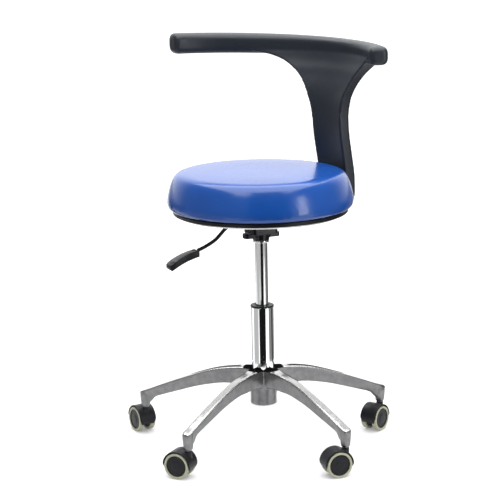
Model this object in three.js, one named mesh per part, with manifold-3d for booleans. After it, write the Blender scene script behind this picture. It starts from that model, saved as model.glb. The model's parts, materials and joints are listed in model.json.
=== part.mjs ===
// Dentist stool: a round padded seat and a curved back and arm rest on a gas lift, over a five-arm
// aluminium base with hooded twin-wheel casters. Millimetres, +Z up, the floor at z = 0.

import * as THREE from 'three';
import { mergeVertices } from 'three/addons/utils/BufferGeometryUtils.js';
import Module from 'manifold-3d';

const wasm = await Module();
wasm.setup();

// ---------------------------------------------------------------- driving dimensions

// The column stands off the middle of the footprint, because the casters trail to different sides.
const COLUMN_X = 11.8;
const COLUMN_Y = -36.6;
const GAP = 0.3;              // between pieces that touch

// Base
const ARM_COUNT = 5;
const BASE_TURN_DEG = 18.9;   // direction of the first arm
const BASE_RADIUS = 274.5;    // column axis to caster stem
const HUB_RADIUS = 28.6;
const HUB_BOTTOM = 89;
const DECK_TOP = 168.8;       // top of the arms at the hub
const SOCKET_BOTTOM = 61;
const SOCKET_RADIUS = 12;
const SOCKET_DEPTH = 27;
const SOCKET_TOP = 97.8;
const ARM_EDGE = 2.2;         // bevel along the top of an arm

// Gas lift
const COLUMN_RADIUS = 25;
const COLUMN_WALL = 2.5;
const COLUMN_BOTTOM = 90;
const COLUMN_TOP = 305;
const TUBE_SIDES = 24;
const CAP_HEIGHT = 3.8;       // guide bush's collar above the column tube
const BUSH_BOTTOM = 225;
const LIFT_RADIUS = 14;       // chromed pressure tube
const LIFT_WALL = 1.7;
const LIFT_BOTTOM = 232;
const LIFT_TOP = 480;
const ROD_RADIUS = 5;
const ROD_NECK = 4;
const PISTON_BOTTOM = 264;
const PISTON_HEIGHT = 12;
const SEAL_HEIGHT = 20;
const PIN_RADIUS = 3;         // release button in the top of the pressure tube
const PIN_TOP = 486.2;

// Mechanism under the seat, turned so that its own +X runs along the lever
const LEVER_DEG = 203;
const PLATE_TOP = 508.4;
const PLATE_THICK = 4;
const PLATE_LENGTH = 150;
const PLATE_WIDTH = 120;
const BOLT_X = 62;
const BOLT_Y = 46;
const BOX_LENGTH = 60;
const BOX_WIDTH = 52;
const BOX_WALL = 5;
const BOX_BOTTOM = 466;
const CONE_BOTTOM = 451;
const WING_LENGTH = 80;
const WING_WIDTH = 22;
const PIVOT_X = 18;           // lever pivot, from the column axis
const LEVER_Z = 490.6;
const LEVER_RADIUS = 4;
const PIVOT_RADIUS = 2.5;

// Seat
const PAN_RADIUS = 187;
const PAN_BOTTOM = PLATE_TOP + 0.4;
const BOARD_RADIUS = 178;
const BOARD_BOTTOM = 512.1;
const BOARD_TOP = 530;
const SEAT_RADIUS = 198;
const SEAT_BOTTOM = 522;
const SEAT_TOP = 601;
// The cushion's side as [radius, height], from its widest part up to its flat crown
const SEAT_SIDE = [
  [SEAT_RADIUS, 537], [197, 548], [194, 562], [190.5, 575], [186.5, 586], [181.5, 594],
  [175, 598.8], [167, 600.6], [158, SEAT_TOP],
];
const SEAT_SIDES = 36;

// Back and arm rest: a level rail on a broad stem, both bent about one axis behind the column
const STEM_DEG = 36.5;
const REST_RADIUS = 300;      // bend of the rail and of the stem's faces
const RAIL_SETBACK = 54;      // how far that bend's centre lies behind the column, at the rail
const RAIL_Z = 839;           // middle of the rail above the stem
const RAIL_RISE = 9;          // per radian, towards the long end
const RAIL_HEIGHT = 41;
const RAIL_THICK = 40;
const RAIL_CORNER = 16;
const RAIL_FROM_DEG = -29;
const RAIL_TO_DEG = 82.5;
const STEM_BOTTOM = 513;
const STEM_HALF_WIDTH = 50;
const STEM_THICK = 24;
const RAIL_FILLET = 12;       // how much the stem thickens into the rail
const FLARE_HEIGHT = 145;     // the stem's edges run out sideways over this height
const LONG_FLARE = { start: 685, width: 220, limit: 240 };
const SHORT_FLARE = { start: 690, width: 115, limit: 128 };
const STRAP_WIDTH = 50;
const STRAP_THICK = 6;
const STRAP_BOLTS = [108, 155];
const STRAP_INNER_END = 94;

// Casters: yaw is the direction in which each wheel pair trails behind its stem
const CASTER_YAW_DEG = [233, 62, 121, 154.5, 200];
const CASTER_TRAIL = 20;
const WHEEL_RADIUS = 27.5;
const WHEEL_INNER = 8.2;      // inner face of a wheel, from the caster's middle plane
const WHEEL_OUTER = 20;
const WHEEL_SIDES = 16;
const CORE_RADIUS = 21.6;
const AXLE_RADIUS = 3;
const HOOD_RADIUS = 31.4;
const HOOD_WALL = 2.8;
const HOOD_HALF_WIDTH = 20.4;
const HOOD_FROM_DEG = -12;
const HOOD_TO_DEG = 196;
const BOSS_RADIUS = 7.5;
const BOSS_TOP = 59.5;
const STEM_RADIUS = 5.45;
const STEM_LOWER_RADIUS = 4;
const STEM_SIDES = 12;

const rad = THREE.MathUtils.degToRad;

// ---------------------------------------------------------------- materials

function material(color, metalness, roughness) {
  return new THREE.MeshStandardMaterial({ color, metalness, roughness });
}

const looks = {
  aluminium: () => material(0xd4d4d2, 1.0, 0.25),
  chrome: () => material(0xe6e8ea, 1.0, 0.06),
  steel: () => material(0x9a9c9e, 1.0, 0.35),
  blackSteel: () => material(0x1b1c1e, 0.4, 0.45),
  blackPlastic: () => material(0x17181b, 0.0, 0.5),
  softBlack: () => material(0x24272d, 0.0, 0.55),
  tread: () => material(0x8f907a, 0.0, 0.6),
  blueLeather: () => material(0x184ba0, 0.0, 0.35),
  plywood: () => material(0xb58a56, 0.0, 0.7),
};

// ---------------------------------------------------------------- shape helpers

function solid(geometry) {
  const bare = geometry.clone();
  bare.deleteAttribute('normal');
  bare.deleteAttribute('uv');
  const merged = mergeVertices(bare, 1e-4);
  const vertProperties = new Float32Array(merged.attributes.position.array);
  const triVerts = new Uint32Array(merged.index.array);
  return new wasm.Manifold(new wasm.Mesh({ numProp: 3, vertProperties, triVerts }));
}

function geometryOf(manifold) {
  const mesh = manifold.getMesh();
  const geometry = new THREE.BufferGeometry();
  geometry.setAttribute('position', new THREE.BufferAttribute(mesh.vertProperties.slice(), 3));
  geometry.setIndex(new THREE.BufferAttribute(mesh.triVerts.slice(), 1));
  geometry.computeVertexNormals();
  return geometry;
}

function join(...geometries) {
  return geometries.map(solid).reduce((sum, part) => sum.add(part));
}

function cut(body, ...tools) {
  return tools.map(solid).reduce((rest, tool) => rest.subtract(tool), body);
}

function cylinder(radius, bottom, top, sides, x = 0, y = 0) {
  const geometry = new THREE.CylinderGeometry(radius, radius, top - bottom, sides);
  geometry.rotateX(Math.PI / 2);
  geometry.translate(x, y, (top + bottom) / 2);
  return geometry;
}

// A cylinder lying along Y, with its middle at x, y = 0, z.
function crossCylinder(radius, length, sides, x, z) {
  const geometry = new THREE.CylinderGeometry(radius, radius, length, sides);
  geometry.translate(x, 0, z);
  return geometry;
}

function box(fromX, toX, fromY, toY, fromZ, toZ) {
  const geometry = new THREE.BoxGeometry(toX - fromX, toY - fromY, toZ - fromZ);
  geometry.translate((fromX + toX) / 2, (fromY + toY) / 2, (fromZ + toZ) / 2);
  return geometry;
}

// A ring or disc about Z from a profile of [radius, z] pairs, listed counter-clockwise.
function turned(profile, sides) {
  const points = profile.map(([radius, z]) => new THREE.Vector2(radius, z));
  const [first, last] = [points[0], points[points.length - 1]];
  if (first.x > 0 || last.x > 0) points.push(first.clone());
  const geometry = new THREE.LatheGeometry(points, sides);
  geometry.rotateX(Math.PI / 2);
  return geometry;
}

// A shape drawn in X and Z, given a thickness along Y about y = 0.
function slab(shape, width, curveSegments = 5) {
  const settings = { depth: width, bevelEnabled: false, curveSegments };
  const geometry = new THREE.ExtrudeGeometry(shape, settings);
  geometry.translate(0, 0, -width / 2);
  geometry.rotateX(Math.PI / 2);
  return geometry;
}

// A shape drawn in X and Y, raised from one height to another.
function prism(shape, bottom, top, curveSegments = 3) {
  const settings = { depth: top - bottom, bevelEnabled: false, curveSegments };
  const geometry = new THREE.ExtrudeGeometry(shape, settings);
  geometry.translate(0, 0, bottom);
  return geometry;
}

function roundedRectangle(length, width, corner) {
  const [x, y] = [length / 2, width / 2];
  const shape = new THREE.Shape();
  shape.absarc(x - corner, y - corner, corner, 0, Math.PI / 2);
  shape.absarc(-x + corner, y - corner, corner, Math.PI / 2, Math.PI);
  shape.absarc(-x + corner, -y + corner, corner, Math.PI, 1.5 * Math.PI);
  shape.absarc(x - corner, -y + corner, corner, 1.5 * Math.PI, 2 * Math.PI);
  return shape;
}

function circle(radius) {
  const shape = new THREE.Shape();
  shape.absarc(0, 0, radius, 0, 2 * Math.PI);
  return shape;
}

// A closed skin over rings of the same even number of points, with both ends covered. Seen from where
// the rings are heading, each ring runs counter-clockwise.
function loft(rings) {
  const count = rings[0].length;
  const position = rings.flat().flatMap((point) => [point.x, point.y, point.z]);
  const index = [];
  for (let row = 0; row + 1 < rings.length; row += 1) {
    for (let column = 0; column < count; column += 1) {
      const a = row * count + column;
      const b = row * count + (column + 1) % count;
      index.push(a, b, b + count, a, b + count, a + count);
    }
  }
  const last = (rings.length - 1) * count;
  for (let column = 0; column + 1 < count / 2; column += 1) {
    const [a, b, c, d] = [column, column + 1, count - 2 - column, count - 1 - column];
    index.push(a, c, b, a, d, c);
    index.push(last + a, last + b, last + c, last + a, last + c, last + d);
  }
  const geometry = new THREE.BufferGeometry();
  geometry.setAttribute('position', new THREE.Float32BufferAttribute(position, 3));
  geometry.setIndex(index);
  return geometry;
}

function place(group, name, geometry, look) {
  const mesh = new THREE.Mesh(geometry, look());
  mesh.name = name;
  group.add(mesh);
  return mesh;
}

// ---------------------------------------------------------------- base

// Stations along an arm: distance from the column, top, bottom, half width above and below.
const ARM_STATIONS = [
  [0, 0, 39, 18, 14],
  [34, 0, 39, 18, 12],
  [52, 0.3, 39.5, 12.8, 8],
  [90, 5, 41, 11.2, 5],
  [120, 12, 45.5, 11, 4.6],
  [155, 23.5, 53.5, 11, 4.6],
  [192, 37, 65, 11, 4.6],
  [228, 51, 76.5, 11, 4.6],
  [250, 60, 84.5, 10.8, 4.8],
  [258, 63.4, 91, 10.8, 5.4],
  [262.5, 65.2, 98, 10.8, 6],
  [277, 70.5, 98, 10.8, 6],
  [285, 73.5, 92, 7.4, 5],
];

// A wedge-shaped arm, widest under the bevels of its top face, from the hub out over the socket.
function armBeam() {
  return loft(ARM_STATIONS.map(([radius, drop, sink, wide, narrow]) => {
    const [top, bottom] = [DECK_TOP - drop, DECK_TOP - sink];
    return [
      new THREE.Vector3(radius, wide - ARM_EDGE, top),
      new THREE.Vector3(radius, -wide + ARM_EDGE, top),
      new THREE.Vector3(radius, -wide, top - ARM_EDGE),
      new THREE.Vector3(radius, -narrow, bottom),
      new THREE.Vector3(radius, narrow, bottom),
      new THREE.Vector3(radius, wide, top - ARM_EDGE),
    ];
  }));
}

// The socket for a caster stem: round, and narrower at its foot.
function armSocket() {
  const foot = SOCKET_RADIUS - 2.6;
  return turned([
    [0, SOCKET_BOTTOM], [foot, SOCKET_BOTTOM], [foot + 1, SOCKET_BOTTOM + 8],
    [SOCKET_RADIUS, SOCKET_BOTTOM + 26], [SOCKET_RADIUS - 1, SOCKET_TOP - 2], [0, SOCKET_TOP - 1],
  ], 16).translate(BASE_RADIUS, 0, 0);
}

function starBase() {
  const stemHole = cylinder(
    STEM_RADIUS + 0.35, SOCKET_BOTTOM - 10, SOCKET_BOTTOM + SOCKET_DEPTH, STEM_SIDES, BASE_RADIUS, 0,
  );
  const arm = cut(join(armBeam(), armSocket()), stemHole);
  let base = solid(cylinder(HUB_RADIUS, HUB_BOTTOM, DECK_TOP - 0.2, TUBE_SIDES));
  for (let index = 0; index < ARM_COUNT; index += 1) {
    base = base.add(arm.rotate([0, 0, BASE_TURN_DEG + index * 360 / ARM_COUNT]));
  }
  const bore = cylinder(COLUMN_RADIUS + GAP, HUB_BOTTOM - 10, DECK_TOP + 10, TUBE_SIDES);
  return geometryOf(cut(base, bore));
}

// ---------------------------------------------------------------- gas lift

const NECK_HOLE = ROD_NECK + 0.4;
const FLOOR_TOP = COLUMN_BOTTOM + 6;      // inside face of the column tube's bottom
const BEARING_TOP = FLOOR_TOP + 5;

function columnTube() {
  const inner = COLUMN_RADIUS - COLUMN_WALL;
  return turned([
    [NECK_HOLE, COLUMN_BOTTOM], [COLUMN_RADIUS, COLUMN_BOTTOM], [COLUMN_RADIUS, COLUMN_TOP],
    [inner, COLUMN_TOP], [inner, FLOOR_TOP], [NECK_HOLE, FLOOR_TOP],
  ], TUBE_SIDES);
}

function guideBush() {
  const bore = LIFT_RADIUS + GAP;
  const outer = COLUMN_RADIUS - COLUMN_WALL - GAP;
  const collar = COLUMN_RADIUS + 0.4;
  const collarBottom = COLUMN_TOP + GAP;
  const collarTop = COLUMN_TOP + CAP_HEIGHT;
  return turned([
    [bore, BUSH_BOTTOM], [outer, BUSH_BOTTOM], [outer, collarBottom], [collar, collarBottom],
    [collar, collarTop - 1], [collar - 1, collarTop], [bore + 2, collarTop],
    [bore + 1, collarTop - 1], [bore, collarTop - 1],
  ], TUBE_SIDES);
}

// A ball thrust bearing: two washers with the narrower ball cage between them.
function thrustBearing() {
  const [bottom, top] = [FLOOR_TOP + GAP, BEARING_TOP];
  const washer = 14;
  const cage = 12.6;
  return turned([
    [NECK_HOLE, bottom], [washer, bottom], [washer, bottom + 1.4], [cage, bottom + 1.6],
    [cage, top - 1.4], [washer, top - 1.2], [washer, top], [NECK_HOLE, top],
  ], 16);
}

function pistonRod() {
  const shoulder = BEARING_TOP + GAP;
  const piston = LIFT_RADIUS - LIFT_WALL - 0.4;
  return turned([
    [0, COLUMN_BOTTOM - 8], [ROD_NECK, COLUMN_BOTTOM - 8], [ROD_NECK, shoulder],
    [ROD_RADIUS, shoulder], [ROD_RADIUS, PISTON_BOTTOM], [piston, PISTON_BOTTOM],
    [piston, PISTON_BOTTOM + PISTON_HEIGHT], [0, PISTON_BOTTOM + PISTON_HEIGHT],
  ], 16);
}

// A C-shaped spring clip that holds the rod's neck under the column tube.
function retainingClip() {
  const [bottom, top] = [COLUMN_BOTTOM - 3.5, COLUMN_BOTTOM - 2];
  const ring = cylinder(9, bottom, top, 16);
  const hole = cylinder(ROD_NECK + GAP, bottom - 1, top + 1, 16);
  const mouth = box(0, 12, -2.5, 2.5, bottom - 1, top + 1);
  return geometryOf(cut(solid(ring), hole, mouth));
}

function pressureTube() {
  const inner = LIFT_RADIUS - LIFT_WALL;
  const pinHole = PIN_RADIUS + 0.4;
  return turned([
    [inner, LIFT_BOTTOM], [LIFT_RADIUS, LIFT_BOTTOM], [LIFT_RADIUS, CONE_BOTTOM - 4],
    [LIFT_RADIUS - 0.6, LIFT_TOP - 1], [LIFT_RADIUS - 1.6, LIFT_TOP], [pinHole, LIFT_TOP],
    [pinHole, LIFT_TOP - 8], [inner, LIFT_TOP - 8],
  ], TUBE_SIDES);
}

function rodSeal() {
  const [bottom, top] = [LIFT_BOTTOM + 1, LIFT_BOTTOM + 1 + SEAL_HEIGHT];
  const outer = LIFT_RADIUS - LIFT_WALL - GAP;
  const bore = ROD_RADIUS + GAP;
  return turned([[bore, bottom], [outer, bottom], [outer, top], [bore, top]], TUBE_SIDES);
}

function tubeCollar() {
  const [bore, outer] = [LIFT_RADIUS + GAP, LIFT_RADIUS + 3.7];
  const [bottom, top] = [CONE_BOTTOM - 4.6, CONE_BOTTOM - GAP];
  return turned([
    [bore, bottom], [outer - 0.8, bottom], [outer, bottom + 1], [outer, top], [bore, top],
  ], TUBE_SIDES);
}

// ---------------------------------------------------------------- mechanism and lever

function boltPlaces() {
  return [[BOLT_X, BOLT_Y], [-BOLT_X, BOLT_Y], [-BOLT_X, -BOLT_Y], [BOLT_X, -BOLT_Y]];
}

const BOLT_RADIUS = 3;
const BOLT_HOLE = BOLT_RADIUS + 0.4;
const BOLT_SIDES = 8;

// A bolting plate over an open-topped box that holds the lever's pivot, with two short wings and a
// conical socket for the pressure tube below.
function mechanismHousing() {
  const overlap = 1;
  const plate = prism(roundedRectangle(PLATE_LENGTH, PLATE_WIDTH, 14), PLATE_TOP - PLATE_THICK, PLATE_TOP);
  const casing = prism(roundedRectangle(BOX_LENGTH, BOX_WIDTH, 8), BOX_BOTTOM, PLATE_TOP - overlap);
  const wings = prism(roundedRectangle(WING_LENGTH, WING_WIDTH, 6), BOX_BOTTOM - 9, BOX_BOTTOM + overlap);
  const coneTop = BOX_BOTTOM + overlap;
  const cone = turned([[0, CONE_BOTTOM], [17.5, CONE_BOTTOM], [20, coneTop], [0, coneTop]], TUBE_SIDES);
  const [x, y] = [BOX_LENGTH / 2 - BOX_WALL, BOX_WIDTH / 2 - BOX_WALL];
  const cavity = box(-x, x, -y, y, BOX_BOTTOM + 6, PLATE_TOP + 10);
  const window = box(x - 3, x + 10, -8, 8, LEVER_Z - 9, LEVER_Z + 9);
  const bore = cylinder(LIFT_RADIUS + GAP, CONE_BOTTOM - 10, BOX_BOTTOM + 10, TUBE_SIDES);
  const pivot = crossCylinder(PIVOT_RADIUS + GAP, BOX_WIDTH + 10, 12, PIVOT_X, LEVER_Z);
  const holes = boltPlaces().map(
    ([holeX, holeY]) => cylinder(BOLT_HOLE, PLATE_TOP - 20, PLATE_TOP + 10, BOLT_SIDES, holeX, holeY),
  );
  return geometryOf(cut(join(plate, casing, wings, cone), cavity, window, bore, pivot, ...holes));
}

function hexBolt(headTop, shankTop) {
  const head = cylinder(5.6, headTop - 4, headTop, 6);
  const shank = cylinder(BOLT_RADIUS, headTop - 1, shankTop, BOLT_SIDES);
  return geometryOf(join(head, shank));
}

function leverPath() {
  return new THREE.CatmullRomCurve3([
    new THREE.Vector3(-6, 0, LEVER_Z),
    new THREE.Vector3(26, 0, LEVER_Z),
    new THREE.Vector3(62, 0, LEVER_Z),
    new THREE.Vector3(81, 0, LEVER_Z - 8),
    new THREE.Vector3(104, 0, LEVER_Z - 29),
    new THREE.Vector3(127, 0, LEVER_Z - 41.5),
    new THREE.Vector3(165, 0, LEVER_Z - 55),
  ]);
}

function leverTube(radius) {
  const settings = { steps: 16, bevelEnabled: false, extrudePath: leverPath(), curveSegments: 5 };
  return new THREE.ExtrudeGeometry(circle(radius), settings);
}

function leverRod() {
  const eye = box(PIVOT_X - 7, PIVOT_X + 7, -6, 6, LEVER_Z - 6, LEVER_Z + 6);
  const hole = crossCylinder(PIVOT_RADIUS + GAP, 20, 12, PIVOT_X, LEVER_Z);
  return geometryOf(cut(join(leverTube(LEVER_RADIUS), eye), hole));
}

function leverPaddle() {
  const side = new THREE.Shape();
  side.moveTo(145, LEVER_Z - 60);
  side.quadraticCurveTo(180, LEVER_Z - 67, 209, LEVER_Z - 84);
  side.quadraticCurveTo(214, LEVER_Z - 80, 212, LEVER_Z - 73);
  side.quadraticCurveTo(185, LEVER_Z - 53, 152, LEVER_Z - 47);
  side.quadraticCurveTo(145, LEVER_Z - 46.5, 145, LEVER_Z - 50);
  const plan = new THREE.Shape();
  plan.moveTo(140, -10.5);
  plan.lineTo(150, -10.5);
  plan.quadraticCurveTo(180, -12, 201, -15);
  plan.quadraticCurveTo(212, -16, 214, -9);
  plan.lineTo(214, 9);
  plan.quadraticCurveTo(212, 16, 201, 15);
  plan.quadraticCurveTo(180, 12, 150, 10.5);
  plan.lineTo(140, 10.5);
  const blade = solid(slab(side, 50)).intersect(solid(prism(plan, LEVER_Z - 100, LEVER_Z)));
  return geometryOf(cut(blade, leverTube(LEVER_RADIUS + GAP)));
}

// ---------------------------------------------------------------- seat

function seatPan() {
  const pan = turned([
    [0, PAN_BOTTOM], [PAN_RADIUS - 11, PAN_BOTTOM], [PAN_RADIUS - 2.5, PAN_BOTTOM + 3.5],
    [PAN_RADIUS, SEAT_BOTTOM - 0.5], [PAN_RADIUS - 3.2, SEAT_BOTTOM - 0.5],
    [PAN_RADIUS - 5, PAN_BOTTOM + 5], [PAN_RADIUS - 8, PAN_BOTTOM + 3], [0, PAN_BOTTOM + 3],
  ], SEAT_SIDES);
  return geometryOf(cut(solid(pan), ...boltDrills()));
}

function seatBoard() {
  const board = cylinder(BOARD_RADIUS, BOARD_BOTTOM, BOARD_TOP, SEAT_SIDES);
  return geometryOf(cut(solid(board), ...boltDrills()));
}

// Clearance holes for the plate's and the strap's bolts, from the pan up through the board.
function boltDrills() {
  const drills = boltPlaces().map(([x, y]) => {
    const drill = cylinder(BOLT_HOLE, PAN_BOTTOM - 5, BOARD_TOP + 5, BOLT_SIDES, x, y);
    return drill.rotateZ(rad(LEVER_DEG));
  });
  STRAP_BOLTS.forEach((radius) => {
    const drill = cylinder(BOLT_HOLE, PAN_BOTTOM - 5, BOARD_TOP + 5, BOLT_SIDES, radius, 0);
    drills.push(drill.rotateZ(rad(STEM_DEG)));
  });
  return drills;
}

function seatCushion() {
  const recess = BOARD_RADIUS + 0.5;
  const profile = [
    [0, BOARD_TOP + GAP], [recess, BOARD_TOP + GAP], [recess, SEAT_BOTTOM],
    [SEAT_RADIUS - 7, SEAT_BOTTOM], [SEAT_RADIUS - 1.5, SEAT_BOTTOM + 6],
    ...SEAT_SIDE, [0, SEAT_TOP],
  ];
  return turned(profile, SEAT_SIDES);
}

// ---------------------------------------------------------------- back and arm rest

// Middle of the stem, measured out from the column, at each height.
const stemLine = new THREE.SplineCurve([
  new THREE.Vector2(STEM_BOTTOM, 212.5),
  new THREE.Vector2(545, 213.5),
  new THREE.Vector2(580, 211.5),
  new THREE.Vector2(620, 205),
  new THREE.Vector2(665, 198),
  new THREE.Vector2(710, 196),
  new THREE.Vector2(750, 201),
  new THREE.Vector2(790, 219),
  new THREE.Vector2(815, 235),
  new THREE.Vector2(RAIL_Z, REST_RADIUS - RAIL_SETBACK),
]);

// Half width of the stem at height z, where its edge runs out along a quarter of an ellipse.
function stemEdge(z, { start, width, limit }) {
  const rise = THREE.MathUtils.clamp((z - start) / FLARE_HEIGHT, 0, 1);
  return Math.min(STEM_HALF_WIDTH + width * (1 - Math.sqrt(1 - rise ** 2)), limit);
}

// A point of the rest: its bend angle, its distance from the bend's axis, and its height.
function restPoint(angle, radius, setback, z) {
  return new THREE.Vector3(radius * Math.cos(angle) - setback, radius * Math.sin(angle), z);
}

function stemRing(z, middle, thick) {
  const columns = 7;
  const setback = REST_RADIUS - middle;
  const [from, to] = [-stemEdge(z, SHORT_FLARE) / REST_RADIUS, stemEdge(z, LONG_FLARE) / REST_RADIUS];
  const inner = [];
  const outer = [];
  for (let column = 0; column <= columns; column += 1) {
    const angle = from + (to - from) * column / columns;
    outer.push(restPoint(angle, REST_RADIUS + thick / 2, setback, z));
    inner.unshift(restPoint(angle, REST_RADIUS - thick / 2, setback, z));
  }
  return [...outer, ...inner];
}

// The stem is thinner at its foot and thickens where it runs into the rail.
function restStem() {
  const rows = 18;
  const rings = [];
  for (let row = 0; row <= rows; row += 1) {
    const { x: z, y: middle } = stemLine.getPoint(row / rows);
    const foot = 6 * (1 - THREE.MathUtils.smoothstep(z, STEM_BOTTOM, STEM_BOTTOM + 20));
    const fillet = RAIL_FILLET * THREE.MathUtils.smoothstep(z, RAIL_Z - 64, RAIL_Z);
    rings.push(stemRing(z, middle, STEM_THICK - foot + fillet));
  }
  return loft(rings);
}

// Middle height of the rail at an angle from the stem.
function railHeight(angle) {
  return RAIL_Z + RAIL_RISE * angle;
}

// The rail is one rounded bar, drawn in at both ends.
function restRail() {
  const outline = roundedRectangle(RAIL_THICK, RAIL_HEIGHT, RAIL_CORNER).getPoints(3).reverse();
  const [from, to] = [rad(RAIL_FROM_DEG), rad(RAIL_TO_DEG)];
  const cap = 10 / REST_RADIUS;
  const steps = 16;
  const stations = [[from, 0.62], [from + 0.3 * cap, 0.86]];
  for (let step = 0; step <= steps; step += 1) {
    stations.push([from + cap + (to - from - 2 * cap) * step / steps, 1]);
  }
  stations.push([to - 0.3 * cap, 0.86], [to, 0.62]);
  return loft(stations.map(([angle, size]) => outline.map((point) => {
    const z = railHeight(angle) + point.y * size;
    return restPoint(angle, REST_RADIUS + point.x * size, RAIL_SETBACK, z);
  })));
}

// Centre line of the steel strap, as [distance from the column, height]: out under the seat, then up.
function strapLine() {
  const flat = PLATE_TOP - STRAP_THICK / 2 + 0.1;
  const bend = 16;
  const steps = 4;
  const points = [new THREE.Vector2(STRAP_INNER_END, flat)];
  const turn = stemLine.getPoint(0.1).y;
  for (let step = 0; step <= steps; step += 1) {
    const angle = step / steps * Math.PI / 2;
    const [out, up] = [turn - bend + bend * Math.sin(angle), flat + bend - bend * Math.cos(angle)];
    points.push(new THREE.Vector2(out, up));
  }
  [0.22, 0.3].forEach((share) => {
    const { x: z, y: middle } = stemLine.getPoint(share);
    points.push(new THREE.Vector2(middle, z));
  });
  return points;
}

// A strip of even thickness along a line, grown by a margin on every side.
function strip(line, thick, margin) {
  const half = thick / 2 + margin;
  const sides = line.map((point, index) => {
    const ahead = line[Math.min(index + 1, line.length - 1)];
    const behind = line[Math.max(index - 1, 0)];
    const along = ahead.clone().sub(behind).normalize();
    const across = new THREE.Vector2(-along.y, along.x).multiplyScalar(half);
    const end = index === line.length - 1 ? along.clone().multiplyScalar(margin) : new THREE.Vector2();
    return [point.clone().add(across).add(end), point.clone().sub(across).add(end)];
  });
  const [left, right] = [sides.map((pair) => pair[0]), sides.map((pair) => pair[1])];
  return new THREE.Shape([...right, ...left.reverse()]);
}

function restStrap() {
  const bar = solid(slab(strip(strapLine(), STRAP_THICK, 0), STRAP_WIDTH));
  const holes = STRAP_BOLTS.map(
    (radius) => cylinder(BOLT_HOLE, PLATE_TOP - 20, PLATE_TOP + 10, BOLT_SIDES, radius, 0),
  );
  return geometryOf(cut(bar, ...holes));
}

function restShell() {
  const slot = slab(strip(strapLine(), STRAP_THICK, GAP), STRAP_WIDTH + 2 * GAP);
  return geometryOf(cut(join(restStem(), restRail()), slot));
}

// ---------------------------------------------------------------- casters

function casterStem() {
  const rest = BOSS_TOP + GAP;
  const top = SOCKET_BOTTOM + SOCKET_DEPTH - 1.5;
  return turned([
    [0, 22], [STEM_LOWER_RADIUS, 22], [STEM_LOWER_RADIUS, rest], [BOSS_RADIUS - 0.4, rest],
    [BOSS_RADIUS - 0.4, SOCKET_BOTTOM - GAP], [STEM_RADIUS, SOCKET_BOTTOM - GAP],
    [STEM_RADIUS - 0.4, top], [0, top],
  ], STEM_SIDES);
}

// The hood arches over both wheels; a web in the middle carries the axle and the stem's boss.
function casterHood() {
  const [from, to] = [rad(HOOD_FROM_DEG), rad(HOOD_TO_DEG)];
  const arch = new THREE.Shape();
  arch.absarc(CASTER_TRAIL, WHEEL_RADIUS, HOOD_RADIUS, from, to);
  arch.absarc(CASTER_TRAIL, WHEEL_RADIUS, HOOD_RADIUS - HOOD_WALL, to, from, true);
  const web = new THREE.Shape();
  web.absarc(CASTER_TRAIL, WHEEL_RADIUS, HOOD_RADIUS - 1, from, to);
  web.lineTo(CASTER_TRAIL - 5, WHEEL_RADIUS - 9);
  web.lineTo(CASTER_TRAIL + 5, WHEEL_RADIUS - 9);
  const boss = cylinder(BOSS_RADIUS, 20, BOSS_TOP, STEM_SIDES);
  const axleBoss = crossCylinder(6.5, 2 * WHEEL_INNER - 2, 10, CASTER_TRAIL, WHEEL_RADIUS);
  const hood = join(slab(arch, 2 * HOOD_HALF_WIDTH, 8), slab(web, 6, 8), boss, axleBoss);
  const stemHole = cylinder(STEM_LOWER_RADIUS + 0.35, 0, BOSS_TOP + 10, STEM_SIDES);
  const axleHole = crossCylinder(AXLE_RADIUS + GAP, 2 * HOOD_HALF_WIDTH, 12, CASTER_TRAIL, WHEEL_RADIUS);
  return geometryOf(cut(hood, stemHole, axleHole));
}

// Wheels are turned about Z first; side is 1 or -1 and says which end of the axle they sit on.
function onAxle(geometry, side) {
  geometry.rotateZ(Math.PI / WHEEL_SIDES);
  geometry.rotateX(-side * Math.PI / 2);
  geometry.translate(CASTER_TRAIL, 0, WHEEL_RADIUS);
  return geometry;
}

// Corner radius that puts the middle of each flat of a many-sided wheel at the stated radius.
function overFlats(radius) {
  return radius / Math.cos(Math.PI / WHEEL_SIDES);
}

function wheelCore(side) {
  const bore = AXLE_RADIUS + GAP;
  const blind = WHEEL_OUTER - 3.5;
  return onAxle(turned([
    [0, blind], [bore, blind], [bore, WHEEL_INNER], [CORE_RADIUS, WHEEL_INNER],
    [CORE_RADIUS, WHEEL_OUTER - 0.6], [0, WHEEL_OUTER - 0.6],
  ], WHEEL_SIDES), side);
}

function wheelTread(side) {
  const inner = CORE_RADIUS + 0.35;
  const outer = overFlats(WHEEL_RADIUS);
  return onAxle(turned([
    [inner, WHEEL_INNER], [outer, WHEEL_INNER], [outer, WHEEL_OUTER - 2.6],
    [outer - 2, WHEEL_OUTER], [inner, WHEEL_OUTER],
  ], WHEEL_SIDES), side);
}

function casterAxle() {
  return crossCylinder(AXLE_RADIUS, 2 * (WHEEL_OUTER - 4.2), 12, CASTER_TRAIL, WHEEL_RADIUS);
}

function caster(number, yawDeg) {
  const group = new THREE.Group();
  const name = (piece) => `caster_${number}_${piece}`;
  place(group, name('stem'), casterStem(), looks.steel);
  place(group, name('hood'), casterHood(), looks.blackPlastic);
  place(group, name('axle'), casterAxle(), looks.steel);
  place(group, name('wheel_left'), wheelCore(1), looks.blackPlastic);
  place(group, name('wheel_right'), wheelCore(-1), looks.blackPlastic);
  place(group, name('tread_left'), wheelTread(1), looks.tread);
  place(group, name('tread_right'), wheelTread(-1), looks.tread);
  group.rotation.z = rad(yawDeg);
  return group;
}

// ---------------------------------------------------------------- assembly

const stool = new THREE.Group();
stool.position.set(COLUMN_X, COLUMN_Y, 0);

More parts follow.
